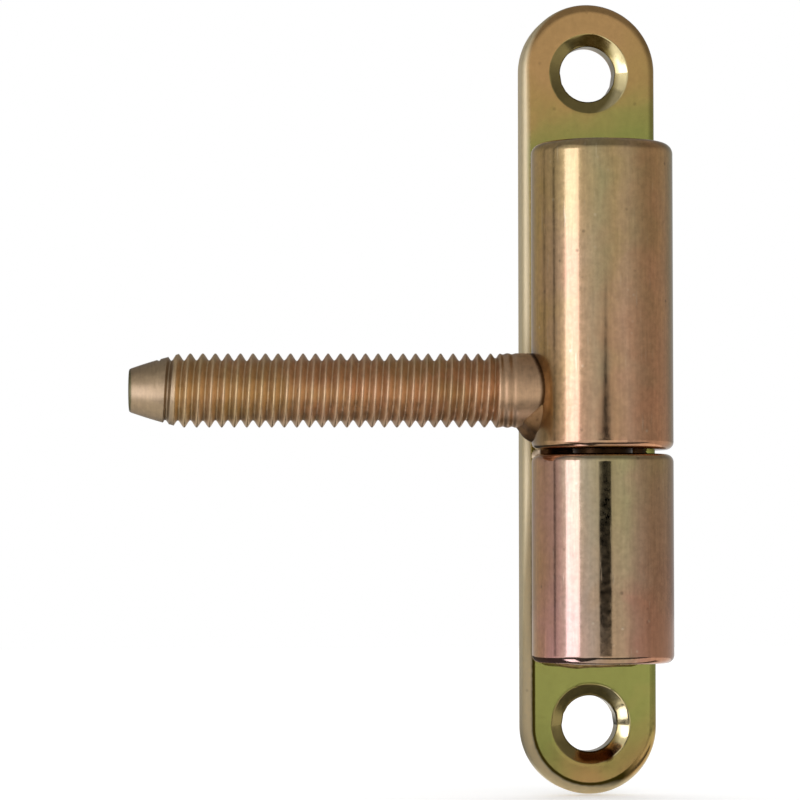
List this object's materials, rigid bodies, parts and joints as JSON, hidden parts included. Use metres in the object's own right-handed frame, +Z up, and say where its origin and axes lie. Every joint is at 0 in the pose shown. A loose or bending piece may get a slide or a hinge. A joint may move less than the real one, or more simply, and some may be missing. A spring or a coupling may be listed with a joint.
{
  "type": "screw-in lift-off hinge",
  "caption": "Lift-off hinge with a round-ended screw plate, a welded barrel and a turning barrel that carries a threaded stud.",
  "frame": {"origin": "middle of the plate's back face, which lies on the frame or post", "axes": "+Y out of the plate's back, +Z up along the plate and parallel to the hinge axis"},
  "size_m": [0.0544, 0.0174, 0.0808],
  "materials": {
    "plate_zinc": "steel, yellow-passivated zinc, dull olive gold",
    "barrel_zinc": "turned steel, yellow-passivated zinc, satin with pink and green tints",
    "stud_zinc": "rolled thread, yellow-passivated zinc, brown copper tint",
    "weld_zinc": "weld metal, yellow-passivated zinc, dark",
    "pin_steel": "bare drawn steel, greased"
  },
  "bodies": {
    "frame_leaf": {"back_plate": "plate_zinc", "lower_barrel": "barrel_zinc", "hinge_pin": "pin_steel", "barrel_weld": "weld_zinc"},
    "door_leaf": {"upper_barrel": "barrel_zinc", "threaded_stud": "stud_zinc", "stud_weld": "weld_zinc"}
  },
  "joints": [
    {"name": "leaf_swing", "type": "hinge", "parent": "frame_leaf", "child": "door_leaf", "pos_m": [0, -0.0103, -0.00555], "axis": [0, 0, 1], "range_deg": [-19.5, 210.5]}
  ]
}
